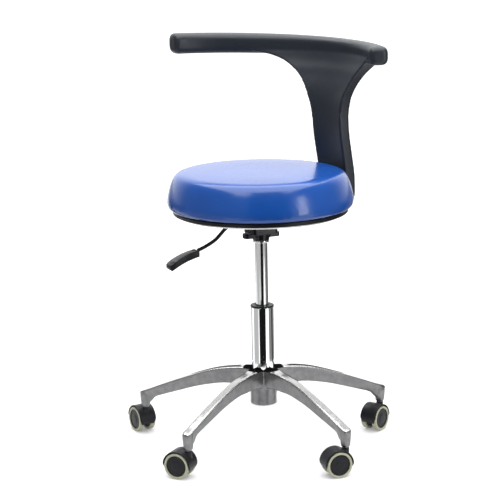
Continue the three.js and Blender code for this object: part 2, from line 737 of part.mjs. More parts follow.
place(stool, 'star_base', starBase(), looks.aluminium);
place(stool, 'column_tube', columnTube(), looks.chrome);
place(stool, 'guide_bush', guideBush(), looks.blackPlastic);
place(stool, 'thrust_bearing', thrustBearing(), looks.steel);
place(stool, 'piston_rod', pistonRod(), looks.steel);
place(stool, 'retaining_clip', retainingClip(), looks.steel);
place(stool, 'pressure_tube', pressureTube(), looks.chrome);
place(stool, 'rod_seal', rodSeal(), looks.blackPlastic);
place(stool, 'tube_collar', tubeCollar(), looks.chrome);
place(stool, 'release_pin', cylinder(PIN_RADIUS, LIFT_TOP - 15, PIN_TOP, 12), looks.steel);

const mechanism = new THREE.Group();
mechanism.rotation.z = rad(LEVER_DEG);
place(mechanism, 'mechanism_housing', mechanismHousing(), looks.blackSteel);
place(mechanism, 'lever_rod', leverRod(), looks.blackSteel);
place(mechanism, 'lever_paddle', leverPaddle(), looks.blackPlastic);
const pivotPin = crossCylinder(PIVOT_RADIUS, BOX_WIDTH + 4, 12, PIVOT_X, LEVER_Z);
place(mechanism, 'lever_pivot_pin', pivotPin, looks.steel);
boltPlaces().forEach(([x, y], index) => {
  const bolt = hexBolt(PLATE_TOP - PLATE_THICK - GAP, BOARD_TOP - 1);
  place(mechanism, `plate_bolt_${index + 1}`, bolt, looks.steel).position.set(x, y, 0);
});
stool.add(mechanism);

place(stool, 'seat_pan', seatPan(), looks.blackPlastic);
place(stool, 'seat_board', seatBoard(), looks.plywood);
place(stool, 'seat_cushion', seatCushion(), looks.blueLeather);

const rest = new THREE.Group();
rest.rotation.z = rad(STEM_DEG);
place(rest, 'backrest_strap', restStrap(), looks.blackSteel);
place(rest, 'backrest_shell', restShell(), looks.softBlack);
STRAP_BOLTS.forEach((radius, index) => {
  const bolt = hexBolt(PLATE_TOP - STRAP_THICK - 0.2, BOARD_TOP - 1);
  place(rest, `strap_bolt_${index + 1}`, bolt, looks.steel).position.set(radius, 0, 0);
});
stool.add(rest);

CASTER_YAW_DEG.forEach((yawDeg, index) => {
  const armAngle = rad(BASE_TURN_DEG + index * 360 / ARM_COUNT);
  const one = caster(index + 1, yawDeg);
  one.position.set(BASE_RADIUS * Math.cos(armAngle), BASE_RADIUS * Math.sin(armAngle), 0);
  stool.add(one);
});

const model = new THREE.Group();
model.add(stool);
export default model;
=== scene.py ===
# Dentist stool: the looks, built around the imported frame. Metres, +Z up, the floor at z = 0.
import json
import math

import bmesh
import bpy
import numpy
from mathutils import Matrix, Vector, noise


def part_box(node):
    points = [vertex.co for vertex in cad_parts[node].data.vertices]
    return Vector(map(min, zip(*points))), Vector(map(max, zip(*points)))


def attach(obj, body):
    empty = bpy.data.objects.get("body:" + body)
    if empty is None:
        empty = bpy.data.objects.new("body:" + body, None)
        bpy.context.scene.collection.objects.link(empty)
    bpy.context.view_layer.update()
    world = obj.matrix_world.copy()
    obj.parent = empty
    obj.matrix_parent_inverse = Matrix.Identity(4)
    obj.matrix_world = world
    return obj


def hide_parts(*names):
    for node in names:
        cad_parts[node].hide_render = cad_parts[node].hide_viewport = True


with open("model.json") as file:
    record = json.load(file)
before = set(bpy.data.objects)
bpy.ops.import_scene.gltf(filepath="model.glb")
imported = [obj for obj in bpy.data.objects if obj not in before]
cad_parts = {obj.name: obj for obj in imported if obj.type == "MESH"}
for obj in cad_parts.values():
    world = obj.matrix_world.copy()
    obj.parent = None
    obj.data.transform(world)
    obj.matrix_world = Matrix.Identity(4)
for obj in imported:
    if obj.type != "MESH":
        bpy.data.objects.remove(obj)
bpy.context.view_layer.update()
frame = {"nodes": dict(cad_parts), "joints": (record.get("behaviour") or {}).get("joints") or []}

MM = 0.001
GAP = 0.3 * MM                 # between pieces that touch

# ---------------------------------------------------------------- places read from the frame

JOINTS = {joint["name"]: joint for joint in frame["joints"]}
CASTERS = range(1, 6)


def joint_place(name):
    return Vector(JOINTS[name]["pos_m"])


def middle(node):
    low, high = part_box(node)
    return (low + high) / 2


def heading(vector):
    """The direction of a vector in plan, in radians from +X."""
    return math.atan2(vector.y, vector.x)


COLUMN = Vector((*joint_place("seat_swivel")[:2], 0))
LEVER_TURN = heading(joint_place("lever_tilt") - COLUMN)
REST_TURN = heading(middle("strap_bolt_1") - COLUMN)
ARM_REACH = (joint_place("caster_1_swivel") - COLUMN).to_2d().length
ARM_TURNS = [heading(joint_place(f"caster_{n}_swivel") - COLUMN) for n in CASTERS]


class Extent:
    """Half width and heights of a node that is round about an upright axis."""

    def __init__(self, node):
        low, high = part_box(node)
        self.radius = (high.x - low.x) / 2
        self.bottom, self.top = low.z, high.z


# ---------------------------------------------------------------- shape helpers


def mesh_object(name, vertices, faces):
    mesh = bpy.data.meshes.new(name)
    mesh.from_pydata([tuple(v) for v in vertices], [], faces)
    work = bmesh.new()
    work.from_mesh(mesh)
    bmesh.ops.recalc_face_normals(work, faces=work.faces)
    work.to_mesh(mesh)
    work.free()
    piece = bpy.data.objects.new(name, mesh)
    bpy.context.scene.collection.objects.link(piece)
    return piece


def shade(piece, sharp_deg=38):
    piece.data.shade_smooth()
    piece.data.set_sharp_from_angle(angle=math.radians(sharp_deg))
    return piece


def apply_modifiers(piece):
    graph = bpy.context.evaluated_depsgraph_get()
    shaped = bpy.data.meshes.new_from_object(piece.evaluated_get(graph))
    piece.modifiers.clear()
    piece.data = shaped
    return piece


def moved(piece, matrix):
    piece.data.transform(matrix)
    return piece


def at_column(turn=0.0):
    return Matrix.Translation(COLUMN) @ Matrix.Rotation(turn, 4, "Z")


def rounded(outline, radius, steps=4, closed=True):
    """The outline with its corners rounded. The two ends of an open outline stay sharp. Long straight runs
    get a point just beside each corner, which keeps their shading flat."""
    points = [Vector(point) for point in outline]
    result = []
    for index, corner in enumerate(points):
        if not closed and index in (0, len(points) - 1):
            result.append(corner)
            continue
        back = points[index - 1] - corner
        ahead = points[(index + 1) % len(points)] - corner
        cut = min(radius / math.tan(back.angle(ahead) / 2), 0.48 * back.length, 0.48 * ahead.length)
        start, end = corner + back.normalized() * cut, corner + ahead.normalized() * cut
        for step in range(steps + 1):
            t = step / steps
            result.append(start * (1 - t) ** 2 + corner * 2 * t * (1 - t) + end * t**2)
    held = []
    for index, point in enumerate(result):
        held.append(point)
        run = result[(index + 1) % len(result)] - point
        if run.length > 4 * radius and (closed or index < len(result) - 1):
            held += [point + run.normalized() * radius, point + run - run.normalized() * radius]
    return held


def turned(name, outline, segments=96, sunk=None):
    """A body turned about Z. An outline that starts and ends on the axis is open, any other one closes
    on itself. sunk(angle, height) says how far the skin is drawn in there."""
    vertices, faces, rings = [], [], []
    for radius, height in outline:
        start = len(vertices)
        if radius < 1e-7:
            vertices.append((0, 0, height))
            rings.append([start] * segments)
            continue
        for index in range(segments):
            angle = math.tau * index / segments
            reach = radius - (sunk(angle, height) if sunk else 0)
            vertices.append((reach * math.cos(angle), reach * math.sin(angle), height))
        rings.append(list(range(start, start + segments)))
    pairs = list(zip(rings, rings[1:]))
    if outline[0][0] > 1e-7:
        pairs.append((rings[-1], rings[0]))
    for lower, upper in pairs:
        for index in range(segments):
            after = (index + 1) % segments
            corners = [lower[index], lower[after], upper[after], upper[index]]
            faces.append(list(dict.fromkeys(corners)))
    return mesh_object(name, vertices, [face for face in faces if len(face) > 2])


def loft(name, rings):
    """A closed skin over rings of equally many points, with a face over each end."""
    count = len(rings[0])
    faces = [list(range(count)), [(len(rings) - 1) * count + index for index in range(count)]]
    for row in range(len(rings) - 1):
        for index in range(count):
            a, b = row * count + index, row * count + (index + 1) % count
            faces.append([a, b, b + count, a + count])
    return mesh_object(name, [point for ring in rings for point in ring], faces)


def prism(name, outline, bottom, top):
    return loft(name, [[Vector((*point, height)) for point in outline] for height in (bottom, top)])


def rectangle(length, width, corner, steps=5):
    x, y = length / 2, width / 2
    return rounded([(-x, -y), (x, -y), (x, y), (-x, y)], corner, steps)


def bevelled(piece, width, segments=3, angle_deg=35):
    edge = piece.modifiers.new("edge", "BEVEL")
    edge.width = width
    edge.segments = segments
    edge.limit_method = "ANGLE"
    edge.angle_limit = math.radians(angle_deg)
    edge.harden_normals = True
    return apply_modifiers(piece)


def fused(name, parts, voxel, rounds):
    """One skin over parts that overlap, with its edges and inner corners softened."""
    work = bmesh.new()
    for part in parts:
        work.from_mesh(part.data)
        bpy.data.objects.remove(part)
    piece = mesh_object(name, [], [])
    work.to_mesh(piece.data)
    work.free()
    skin = piece.modifiers.new("skin", "REMESH")
    skin.mode = "VOXEL"
    skin.voxel_size = voxel
    soften = piece.modifiers.new("soften", "SMOOTH")
    soften.factor = 0.5
    soften.iterations = rounds
    apply_modifiers(piece)
    piece.data.shade_smooth()
    return piece


def curve_through(stations, samples):
    """Catmull-Rom points through a list of equally long tuples."""
    rows = [Vector(station) for station in stations]
    rows = [2 * rows[0] - rows[1], *rows, 2 * rows[-1] - rows[-2]]
    spans = len(rows) - 3
    result = []
    for sample in range(samples + 1):
        along = sample / samples * spans
        span = min(int(along), spans - 1)
        t = along - span
        a, b, c, d = rows[span:span + 4]
        result.append(0.5 * (2 * b + (c - a) * t + (2 * a - 5 * b + 4 * c - d) * t**2
                             + (3 * b - a - 3 * c + d) * t**3))
    return result


def smoothstep(value, low, high):
    t = min(max((value - low) / (high - low), 0), 1)
    return t * t * (3 - 2 * t)


# ---------------------------------------------------------------- materials


class Look:
    """A material being made: its node tree, its shader and the point being shaded."""

    def __init__(self, name, **sockets):
        self.material = bpy.data.materials.new(name)
        self.material.use_nodes = True
        self.tree = self.material.node_tree
        self.shader = self.tree.nodes["Principled BSDF"]
        for socket, value in sockets.items():
            self.shader.inputs[socket.replace("_", " ")].default_value = value
        self.place = self.node("ShaderNodeTexCoord").outputs["Object"]

    def node(self, kind, inputs=None, **settings):
        made = self.tree.nodes.new(kind)
        for name, value in settings.items():
            setattr(made, name, value)
        for name, value in (inputs or {}).items():
            if isinstance(value, bpy.types.NodeSocket):
                self.tree.links.new(value, made.inputs[name])
            else:
                made.inputs[name].default_value = value
        return made

    def noise(self, per_metre, detail=3.0, stretch=(1, 1, 1)):
        place = self.node("ShaderNodeMapping", {"Vector": self.place, "Scale": stretch})
        inputs = {"Vector": place.outputs[0], "Scale": per_metre, "Detail": detail}
        return self.node("ShaderNodeTexNoise", inputs).outputs["Fac"]

    def cells(self, per_metre, feature="F1"):
        inputs = {"Vector": self.place, "Scale": per_metre}
        return self.node("ShaderNodeTexVoronoi", inputs, feature=feature).outputs["Distance"]

    def scaled(self, value, from_low, from_high, to_low, to_high):
        inputs = {"Value": value, "From Min": from_low, "From Max": from_high,
                  "To Min": to_low, "To Max": to_high}
        return self.node("ShaderNodeMapRange", inputs).outputs[0]

    def math(self, operation, first, second):
        made = self.node("ShaderNodeMath", {0: first, 1: second}, operation=operation)
        return made.outputs[0]

    def blend(self, amount, first, second):
        made = self.node("ShaderNodeMix", data_type="RGBA")
        for index, value in ((0, amount), (6, first), (7, second)):
            if isinstance(value, bpy.types.NodeSocket):
                self.tree.links.new(value, made.inputs[index])
            else:
                made.inputs[index].default_value = value
        return made.outputs[2]

    def upward(self):
        """How far the surface faces up, from -1 to 1."""
        normal = self.node("ShaderNodeTexCoord").outputs["Normal"]
        return self.node("ShaderNodeSeparateXYZ", {0: normal}).outputs["Z"]

    def drive(self, socket, value):
        self.tree.links.new(value, self.shader.inputs[socket])

    def bump(self, *layers):
        """Layers of (height, strength, depth in metres), each laid over the one before."""
        normal = None
        for height, strength, depth in layers:
            inputs = {"Height": height, "Strength": strength, "Distance": depth}
            if normal is not None:
                inputs["Normal"] = normal
            normal = self.node("ShaderNodeBump", inputs).outputs[0]
        self.drive("Normal", normal)


def rgb(red, green, blue):
    return (red, green, blue, 1.0)


def blue_leather():
    """Smooth artificial leather: a shallow pebble grain with fine pores, and a gloss that varies in fine
    patches.
    """
    look = Look("blue_leather", Specular_IOR_Level=0.5)
    broad = look.noise(9, 2)
    fine = look.noise(260, 4)
    tone = look.blend(look.scaled(broad, 0.3, 0.7, 0, 1), rgb(0.0042, 0.045, 0.215), rgb(0.006, 0.055, 0.26))
    pores = look.scaled(look.cells(1500), 0.0, 0.35, 0, 1)
    tone = look.blend(look.scaled(pores, 0, 1, 0.35, 0), tone, rgb(0.002, 0.025, 0.14))
    look.drive("Base Color", tone)
    look.drive("Roughness", look.scaled(fine, 0.3, 0.7, 0.17, 0.25))
    grain = look.cells(620, "SMOOTH_F1")
    look.bump((broad, 0.12, 2 * MM), (grain, 0.10, 0.25 * MM), (pores, 0.05, 0.1 * MM))
    return look.material


def soft_black():
    """Integral-skin foam: satin charcoal with a fine moulded grain, paler in patches on the faces that look
    up: partly wear, partly a painted sheen of the light from above.
    """
    look = Look("soft_black", Specular_IOR_Level=0.4)
    broad = look.noise(7, 3)
    tone = look.blend(broad, rgb(0.0065, 0.0095, 0.015), rgb(0.010, 0.0135, 0.020))
    # painted sheen and wear: the faces that look up are painted paler in patches
    wear_and_top_sheen = look.math("MULTIPLY", look.scaled(look.upward(), 0.55, 1.0, 0, 0.5), look.noise(40, 4))
    look.drive("Base Color", look.blend(wear_and_top_sheen, tone, rgb(0.035, 0.038, 0.046)))
    look.drive("Roughness", look.scaled(look.noise(60, 5), 0.3, 0.7, 0.36, 0.44))
    grain, pores = look.cells(900), look.noise(2600, 2)
    look.bump((broad, 0.08, 1.5 * MM), (grain, 0.10, 0.12 * MM), (pores, 0.06, 0.05 * MM))
    return look.material


def moulded(name, dark, pale, rough):
    """Injection-moulded plastic with a spark-eroded texture."""
    look = Look(name, Specular_IOR_Level=0.2)
    tone = look.blend(look.noise(25, 4), dark, pale)
    # painted highlight: the faces that look up are painted paler in patches, standing in for the light from
    # above
    top_highlight = look.math("MULTIPLY", look.scaled(look.upward(), 0.6, 1.0, 0, 0.5), look.noise(60, 4))
    look.drive("Base Color", look.blend(top_highlight, tone, rgb(0.055, 0.056, 0.06)))
    look.drive("Roughness", look.scaled(look.noise(120, 4), 0.3, 0.7, rough - 0.06, rough + 0.06))
    look.bump((look.noise(1900, 3), 0.16, 0.08 * MM), (look.noise(30, 2), 0.05, 0.6 * MM))
    return look.material


def chrome():
    """Mirror chrome with faint wiping marks."""
    look = Look("chrome", Metallic=1.0, Specular_IOR_Level=0.5)
    smear = look.noise(14, 4, (1, 1, 0.25))
    look.drive("Base Color", look.blend(smear, rgb(0.83, 0.84, 0.85), rgb(0.9, 0.905, 0.91)))
    look.drive("Roughness", look.scaled(look.noise(70, 5, (1, 1, 0.15)), 0.35, 0.75, 0.03, 0.085))
    look.bump((look.noise(9, 1), 0.02, 0.4 * MM))
    return look.material


BLACK_CENTRE_RADIUS = 44 * MM         # of the black recess round the column


def polished_aluminium():
    """Cast aluminium: polished on the faces that look up, satin and slightly mottled on the sides, with
    the upward faces within 44 mm of the column, in the recess between the arms, made black, dull and not
    metallic."""
    look = Look("polished_aluminium", Metallic=1.0)
    top = look.scaled(look.upward(), 0.45, 0.8, 0, 1)
    mottle = look.noise(75, 5)
    side = look.blend(look.scaled(mottle, 0.3, 0.7, 0, 1), rgb(0.165, 0.167, 0.172), rgb(0.235, 0.235, 0.235))
    streak = look.blend(look.noise(60, 4), rgb(0.42, 0.42, 0.415), rgb(0.56, 0.56, 0.55))
    metal = look.blend(top, side, streak)
    flat = look.node("ShaderNodeVectorMath", {0: look.place, 1: (1, 1, 0)}, operation="MULTIPLY")
    out = look.node("ShaderNodeVectorMath", {0: flat.outputs[0], 1: tuple(COLUMN)}, operation="DISTANCE")
    # black, dull and not metallic on the faces that look up within 44 mm of the column
    near = look.scaled(out.outputs["Value"], BLACK_CENTRE_RADIUS - MM, BLACK_CENTRE_RADIUS + MM, 1, 0)
    black_centre = look.math("MULTIPLY", near, look.scaled(look.upward(), 0.3, 0.5, 0, 1))
    look.drive("Base Color", look.blend(black_centre, metal, rgb(0.006, 0.006, 0.007)))
    bare = look.math("SUBTRACT", 1.0, black_centre)
    look.drive("Metallic", bare)
    look.drive("Specular IOR Level", look.math("MULTIPLY", bare, 0.5))
    side_rough = look.scaled(look.noise(160, 4), 0.3, 0.7, 0.27, 0.40)
    top_rough = look.scaled(look.noise(90, 4), 0.3, 0.7, 0.09, 0.17)
    rough = look.node("ShaderNodeMix", {0: top, 2: side_rough, 3: top_rough}).outputs[0]
    look.drive("Roughness", look.math("MAXIMUM", rough, look.math("MULTIPLY", black_centre, 0.6)))
    look.bump((mottle, 0.06, 0.4 * MM), (look.noise(22, 2), 0.05, 1.0 * MM))
    return look.material


def plated_steel():
    look = Look("plated_steel", Metallic=1.0)
    spangle = look.noise(140, 4)
    look.drive("Base Color", look.blend(spangle, rgb(0.42, 0.42, 0.42), rgb(0.58, 0.585, 0.6)))
    look.drive("Roughness", look.scaled(spangle, 0.3, 0.7, 0.22, 0.36))
    look.bump((look.noise(700, 2), 0.08, 0.05 * MM))
    return look.material


def black_coat():
    """Gloss black coating on steel, with a trace of orange peel."""
    look = Look("black_coat", Specular_IOR_Level=0.3)
    tone = look.blend(look.noise(60, 4), rgb(0.003, 0.003, 0.004), rgb(0.007, 0.007, 0.009))
    look.drive("Base Color", tone)
    look.drive("Roughness", look.scaled(look.noise(90, 4), 0.3, 0.7, 0.12, 0.22))
    look.bump((look.noise(420, 2), 0.10, 0.1 * MM))
    return look.material


def grey_tread():
    """Soft khaki-grey polyurethane, dusty where it rolls."""
    look = Look("grey_tread", Specular_IOR_Level=0.45, Subsurface_Weight=0.06)
    look.shader.inputs["Subsurface Radius"].default_value = (3 * MM, 3 * MM, 2 * MM)
    look.shader.inputs["Subsurface Scale"].default_value = 1.0
    tone = look.blend(look.noise(45, 3), rgb(0.27, 0.275, 0.185), rgb(0.36, 0.36, 0.255))
    dust = look.scaled(look.noise(150, 5), 0.45, 0.75, 0, 0.4)
    look.drive("Base Color", look.blend(dust, tone, rgb(0.2, 0.195, 0.16)))
    look.drive("Roughness", look.scaled(look.noise(220, 4), 0.3, 0.7, 0.36, 0.5))
    look.bump((look.noise(500, 3), 0.10, 0.1 * MM))
    return look.material


def plywood():
    """Birch plywood: thin plies on the edge, a long grain on the faces."""
    look = Look("plywood")
    ply = look.node("ShaderNodeTexWave", {"Vector": look.place, "Scale": 110.0, "Distortion": 0.6},
                    bands_direction="Z").outputs["Fac"]
    grain = look.noise(30, 6, (1, 9, 1))
    tone = look.blend(grain, rgb(0.36, 0.22, 0.1), rgb(0.55, 0.38, 0.2))
    look.drive("Base Color", look.blend(look.scaled(ply, 0, 1, 0, 0.45), tone, rgb(0.2, 0.11, 0.05)))
    look.drive("Roughness", look.scaled(grain, 0.3, 0.7, 0.55, 0.75))
    look.bump((grain, 0.2, 0.3 * MM))
    return look.material


LOOKS = {
    "blue_leather": blue_leather(),
    "soft_black": soft_black(),
    "black_nylon": moulded("black_nylon", rgb(0.005, 0.0055, 0.0075), rgb(0.009, 0.0095, 0.012), 0.36),
    "chrome": chrome(),
    "polished_aluminium": polished_aluminium(),
    "steel": plated_steel(),
    "black_steel": black_coat(),
    "grey_tread": grey_tread(),
    "plywood": plywood(),
}


def settle(piece, body, slot, *nodes):
    """Gives a finished piece its material, its body and the nodes it stands for."""
    piece.data.materials.clear()
    piece.data.materials.append(LOOKS[slot])
    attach(piece, body)
    if nodes:
        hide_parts(*nodes)
    return piece


# ---------------------------------------------------------------- base

# Stations along an arm, in millimetres: distance from the column, drop of the top and of the underside
# below the deck, half width above and below.
ARM_STATIONS = [
    (26, 0, 39, 18, 14), (52, 0.3, 39.5, 12.8, 8), (90, 5, 41, 11.2, 5), (120, 12, 45.5, 11, 4.6),
    (155, 23.5, 53.5, 11, 4.6), (192, 37, 65, 11, 4.6), (228, 51, 76.5, 11, 4.6), (250, 60, 84.5, 10.8, 4.8),
    (262.5, 65.2, 97, 10.8, 6), (277, 70.5, 98, 10.6, 6), (285, 73.8, 92, 7.4, 5),
]
ARM_EDGE = 1.2                 # bevel along the top of an arm, in millimetres
BASE = Extent("star_base")
HUB_RADIUS = 28.6 * MM
HUB_BORE = Extent("column_tube").radius + GAP
HUB_BOTTOM = Extent("column_tube").bottom - 1 * MM
SOCKET_RADIUS = 12 * MM
SOCKET_HEIGHT = 36.8 * MM


def arm(number, turn):
    rings = []
    for radius, drop, sink, wide, narrow in curve_through(ARM_STATIONS, 60):
        top, under = BASE.top - drop * MM, BASE.top - sink * MM
        half = [(narrow * MM, under), (wide * MM, top - ARM_EDGE * MM), ((wide - ARM_EDGE) * MM, top)]
        outline = half + [(-y, z) for y, z in reversed(half)]
        rings.append([Vector((radius * MM, y, z)) for y, z in rounded(outline, 0.9 * MM, 2)])
    return moved(loft(f"arm_{number}", rings), at_column(turn))


def socket(number, turn):
    """The boss for a caster stem, drawn in at its foot, with shallow flutes down its outer side."""
    flutes = [math.radians(angle) for angle in (-75, 0, 75)]

    def sunk(angle, height):
        near = min(abs(math.remainder(angle - flute, math.tau)) for flute in flutes)
        depth = smoothstep(height, BASE.bottom + 2 * MM, BASE.bottom + 9 * MM)
        return 1.5 * MM * depth * math.exp(-((near / 0.17) ** 2))

    foot, top = BASE.bottom, BASE.bottom + SOCKET_HEIGHT
    outline = rounded([
        (0, foot), (SOCKET_RADIUS - 2.6 * MM, foot), (SOCKET_RADIUS - 1.6 * MM, foot + 8 * MM),
        (SOCKET_RADIUS, foot + 26 * MM), (SOCKET_RADIUS - 1 * MM, top - 2 * MM), (0, top - 1 * MM),
    ], 1.5 * MM, 4, closed=False)
    boss = turned(f"socket_{number}", outline, 72, sunk)
    return moved(boss, at_column(turn) @ Matrix.Translation((ARM_REACH, 0, 0)))


def star_base():
    hub = moved(turned("hub", rounded([
        (HUB_BORE, HUB_BOTTOM), (HUB_RADIUS, HUB_BOTTOM), (HUB_RADIUS, BASE.top), (HUB_BORE, BASE.top),
    ], 1.2 * MM, 3), 96), at_column())
    parts = [hub]
    for number, turn in zip(CASTERS, ARM_TURNS):
        parts += [arm(number, turn), socket(number, turn)]
    base = fused("base_casting", parts, 1.5 * MM, 10)
    return settle(base, "base", "polished_aluminium", "star_base")


# ---------------------------------------------------------------- gas lift


def lift_piece(name, body, slot, node, outline, edge=0.4, closed=True, segments=96):
    piece = turned(name, rounded(outline, edge * MM, 3, closed), segments)
    return settle(shade(moved(piece, at_column())), body, slot, node)


def gas_lift():
    tube, bush, bearing = Extent("column_tube"), Extent("guide_bush"), Extent("thrust_bearing")
    rod, lift, seal = Extent("piston_rod"), Extent("pressure_tube"), Extent("rod_seal")
    collar, pin = Extent("tube_collar"), Extent("release_pin")
    wall = 2.5 * MM
    neck = 4.4 * MM
    floor_top = bearing.bottom - GAP
    inner = tube.radius - wall
    lift_piece("column_sleeve", "base", "chrome", "column_tube", [
        (neck, tube.bottom), (tube.radius, tube.bottom), (tube.radius, tube.top), (inner, tube.top),
        (inner, floor_top), (neck, floor_top),
    ])
    bore = lift.radius + GAP
    lip = tube.top + GAP
    lift_piece("column_collar", "base", "black_nylon", "guide_bush", [
        (bore, bush.bottom), (inner - GAP, bush.bottom), (inner - GAP, lip), (bush.radius, lip),
        (bush.radius, bush.top - 1 * MM), (bush.radius - 1 * MM, bush.top), (bore + 2 * MM, bush.top),
        (bore + 1 * MM, bush.top - 1 * MM), (bore, bush.top - 1 * MM),
    ], 0.5)
    cage = bearing.radius - 1.4 * MM
    lift_piece("ball_bearing", "base", "steel", "thrust_bearing", [
        (neck, bearing.bottom), (bearing.radius, bearing.bottom), (bearing.radius, bearing.bottom + 1.4 * MM),
        (cage, bearing.bottom + 1.6 * MM), (cage, bearing.top - 1.4 * MM),
        (bearing.radius, bearing.top - 1.2 * MM), (bearing.radius, bearing.top), (neck, bearing.top),
    ], 0.3, segments=64)
    shoulder = bearing.top + GAP
    piston = rod.top - 12 * MM
    lift_piece("lift_rod", "spindle", "steel", "piston_rod", [
        (0, rod.bottom), (4 * MM, rod.bottom), (4 * MM, shoulder), (5 * MM, shoulder), (5 * MM, piston),
        (rod.radius, piston), (rod.radius, rod.top), (0, rod.top),
    ], 0.5, closed=False, segments=64)
    bore = lift.radius - 1.7 * MM
    pin_hole = pin.radius + 0.4 * MM
    lift_piece("lift_tube", "seat", "chrome", "pressure_tube", [
        (bore, lift.bottom), (lift.radius, lift.bottom), (lift.radius, collar.bottom),
        (lift.radius - 0.6 * MM, lift.top - 1 * MM), (lift.radius - 1.6 * MM, lift.top), (pin_hole, lift.top),
        (pin_hole, lift.top - 8 * MM), (bore, lift.top - 8 * MM),
    ])
    lift_piece("tube_seal", "seat", "black_nylon", "rod_seal", [
        (5.3 * MM, seal.bottom), (seal.radius, seal.bottom), (seal.radius, seal.top), (5.3 * MM, seal.top),
    ])
    bore = lift.radius + GAP
    lift_piece("lift_collar", "seat", "chrome", "tube_collar", [
        (bore, collar.bottom), (collar.radius - 0.8 * MM, collar.bottom), (collar.radius, collar.bottom + MM),
        (collar.radius, collar.top), (bore, collar.top),
    ])
    lift_piece("valve_pin", "release_pin", "steel", "release_pin", [
        (0, pin.bottom), (pin.radius, pin.bottom), (pin.radius, pin.top), (0, pin.top),
    ], 0.8, closed=False, segments=48)


def spring_clip():
    """The flat C-shaped clip on the rod's neck."""
    clip = Extent("retaining_clip")
    inner, outer = 4.3 * MM, 9 * MM
    opening = math.radians(24)
    steps = 40
    sweep = [opening + (math.tau - 2 * opening) * step / steps for step in range(steps + 1)]
    edge = [(outer, angle) for angle in sweep] + [(inner, angle) for angle in reversed(sweep)]
    outline = [(radius * math.cos(angle), radius * math.sin(angle)) for radius, angle in edge]
    piece = bevelled(prism("spring_clip", outline, clip.bottom, clip.top), 0.25 * MM, 2)
    settle(shade(moved(piece, at_column())), "spindle", "steel", "retaining_clip")


# ---------------------------------------------------------------- mechanism and lever

LEVER_HEIGHT = joint_place("lever_tilt").z
PIVOT_X = (joint_place("lever_tilt") - COLUMN).to_2d().length


def mechanism():
    """A pressed plate over an open box for the lever, with two short wings and the tube's conical seat."""
    low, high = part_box("mechanism_housing")
    plate_bottom = high.z - 4 * MM
    box_bottom = low.z + 15 * MM        # the cone hangs below the box
    box_length, box_width, wall = 60 * MM, 52 * MM, 5 * MM
    bore = Extent("pressure_tube").radius + GAP
    plate = prism("plate", rectangle(150 * MM, 120 * MM, 14 * MM), plate_bottom, high.z)
    casing = prism("casing", rectangle(box_length, box_width, 8 * MM), box_bottom, high.z - MM)
    flange = prism("flange", rectangle(74 * MM, 66 * MM, 10 * MM), plate_bottom - 3 * MM, plate_bottom + MM)
    wings = prism("wings", rectangle(80 * MM, 22 * MM, 6 * MM), box_bottom - 9 * MM, box_bottom + MM)
    cone = turned("cone", [(0, low.z), (17.5 * MM, low.z), (20 * MM, box_bottom + MM), (0, box_bottom + MM)])
    body = fused("mechanism_body", [plate, casing, flange, wings, cone], 1.0 * MM, 3)
    inside = rectangle(box_length - 2 * wall, box_width - 2 * wall, 4 * MM)
    hollow = prism("hollow", inside, box_bottom + 6 * MM, high.z + 10 * MM)
    slot = rectangle(26 * MM, 16 * MM, 3 * MM)
    window = prism("window", slot, LEVER_HEIGHT - 9 * MM, LEVER_HEIGHT + 9 * MM)
    moved(window, Matrix.Translation((box_length / 2, 0, 0)))
    passage = turned("passage", [(0, low.z - MM), (bore, low.z - MM), (bore, box_bottom + 10 * MM),
                                 (0, box_bottom + 10 * MM)])
    tools = [hollow, window, passage]
    for number in range(1, 5):
        place = at_column(LEVER_TURN).inverted() @ middle(f"plate_bolt_{number}")
        drill = turned(f"drill_{number}", [(0, plate_bottom - 10 * MM), (3.4 * MM, plate_bottom - 10 * MM),
                                           (3.4 * MM, high.z + 5 * MM), (0, high.z + 5 * MM)], 24)
        tools.append(moved(drill, Matrix.Translation((place.x, place.y, 0))))
    carve(body, tools)
    shade(moved(body, at_column(LEVER_TURN)), 50)
    return settle(body, "seat", "black_steel", "mechanism_housing")


def carve(piece, tools):
    """Takes the tools out of a piece, one after another."""
    for tool in tools:
        cut = piece.modifiers.new("cut", "BOOLEAN")
        cut.operation = "DIFFERENCE"
        cut.solver = "EXACT"
        cut.object = tool
        apply_modifiers(piece)
        bpy.data.objects.remove(tool)


def bolt(name, node):
    """A hexagon-headed bolt with a chamfered head, a washer face and a plain shank."""
    low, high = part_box(node)
    place = (low + high) / 2
    head_top = low.z + 4 * MM
    rings = []
    for reach, height in ((4.6, 0), (5.5, 0.7), (5.5, 4.0)):
        corners = [math.tau * k / 6 for k in range(6)]
        rings.append([Vector((reach * MM * math.cos(angle), reach * MM * math.sin(angle),
                              low.z + height * MM)) for angle in corners])
    head = bevelled(loft(name + "_head", rings), 0.35 * MM, 2)
    shank = turned(name, rounded([
        (0, head_top - MM), (3 * MM, head_top - MM), (3 * MM, high.z), (0, high.z),
    ], 0.5 * MM, 3, closed=False), 32)
    work = bmesh.new()
    work.from_mesh(shank.data)
    work.from_mesh(head.data)
    work.to_mesh(shank.data)
    work.free()
    bpy.data.objects.remove(head)
    moved(shank, Matrix.Translation((place.x, place.y, 0)))
    return settle(shade(shank), "seat", "steel", node)


# The lever's centre line in millimetres, out from the column and above the pivot.
LEVER_LINE = [(-6, 0), (26, 0), (62, 0), (81, -8), (104, -29), (127, -41.5), (146, -48.6)]


